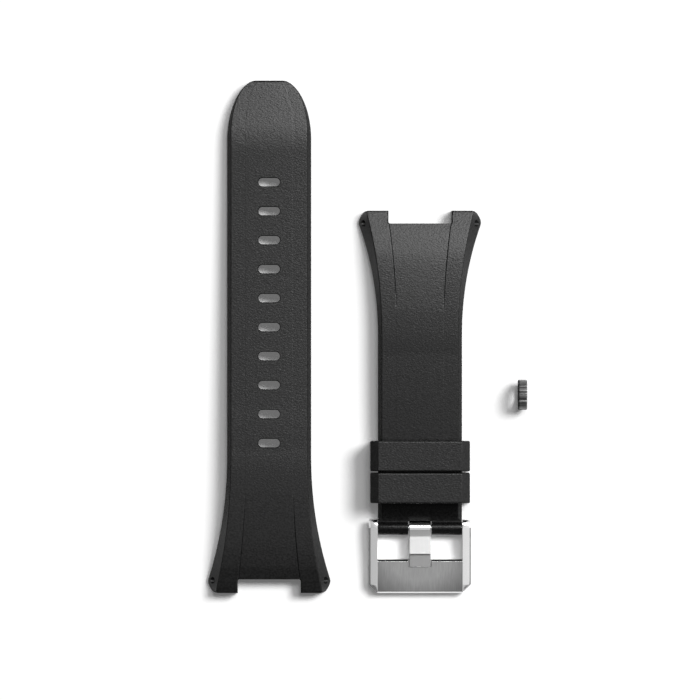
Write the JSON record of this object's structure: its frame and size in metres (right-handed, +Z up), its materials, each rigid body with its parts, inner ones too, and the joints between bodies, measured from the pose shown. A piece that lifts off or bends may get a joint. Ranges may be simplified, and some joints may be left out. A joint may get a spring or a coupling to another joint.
{
  "type": "watch strap",
  "caption": "Curved rubber watch strap with flared, bored lug ends, adjustment holes, sliding loops, a steel pin buckle on a spring bar and a fluted crown cover.",
  "frame": {"origin": "centre of the whole set's outline, on the table that it lies on", "axes": "+Y along both halves, from the buckle towards the tail's tip; +X across them, from the tail half to the buckle half and the crown cover; +Z up from the table, out of the faces that are worn outwards"},
  "size_m": [0.076, 0.122, 0.0099],
  "materials": {
    "strap_rubber": "matte, fine grain",
    "loop_rubber": "matte",
    "cover_rubber": "semi-matte",
    "buckle_steel": "brushed front bar, polished arms and edges",
    "tongue_steel": "polished",
    "bar_steel": "fine turned",
    "bush_steel": "turned",
    "spring_steel": "drawn wire"
  },
  "bodies": {
    "short_half": {"short_strap": "strap_rubber", "short_bush_left": "bush_steel", "short_bush_right": "bush_steel", "bar_tube": "bar_steel", "bar_spring": "spring_steel"},
    "upper_loop": {"loop_upper": "loop_rubber"},
    "lower_loop": {"loop_lower": "loop_rubber"},
    "buckle": {"buckle_frame": "buckle_steel"},
    "tongue": {"tongue": "tongue_steel"},
    "tip_left": {"bar_tip_left": "bar_steel"},
    "tip_right": {"bar_tip_right": "bar_steel"},
    "long_half": {"long_strap": "strap_rubber", "long_bush_left": "bush_steel", "long_bush_right": "bush_steel"},
    "crown_cover": {"crown_cover": "cover_rubber"}
  },
  "joints": [
    {"name": "upper_loop_slide", "type": "slide", "parent": "short_half", "child": "upper_loop", "axis": [0, 1, 0], "range_m": [0, 0.018]},
    {"name": "lower_loop_slide", "type": "slide", "parent": "short_half", "child": "lower_loop", "axis": [0, 1, 0], "range_m": [-0.0015, 0.0003]},
    {"name": "buckle_swing", "type": "hinge", "parent": "short_half", "child": "buckle", "pos_m": [0.0125, -0.0455, 0.0027], "axis": [-1, 0, 0], "range_deg": [-95, 45]},
    {"name": "tongue_swing", "type": "hinge", "parent": "buckle", "child": "tongue", "pos_m": [0.0125, -0.0455, 0.0027], "axis": [-1, 0, 0], "range_deg": [0, 60]},
    {"name": "left_tip_press", "type": "slide", "parent": "short_half", "child": "tip_left", "axis": [1, 0, 0], "range_m": [0, 0.00105], "stiffness_N_per_m": 1500, "springref_m": -0.001, "deforming": ["bar_spring"]},
    {"name": "right_tip_press", "type": "slide", "parent": "short_half", "child": "tip_right", "axis": [-1, 0, 0], "range_m": [0, 0.00105], "stiffness_N_per_m": 1500, "springref_m": -0.001, "deforming": ["bar_spring"]},
    {"name": "long_half_lift", "type": "slide", "parent": "short_half", "child": "long_half", "axis": [0, 0, 1], "range_m": [0, 0.02]},
    {"name": "crown_cover_lift", "type": "slide", "parent": "short_half", "child": "crown_cover", "axis": [0, 0, 1], "range_m": [0, 0.02]}
  ]
}
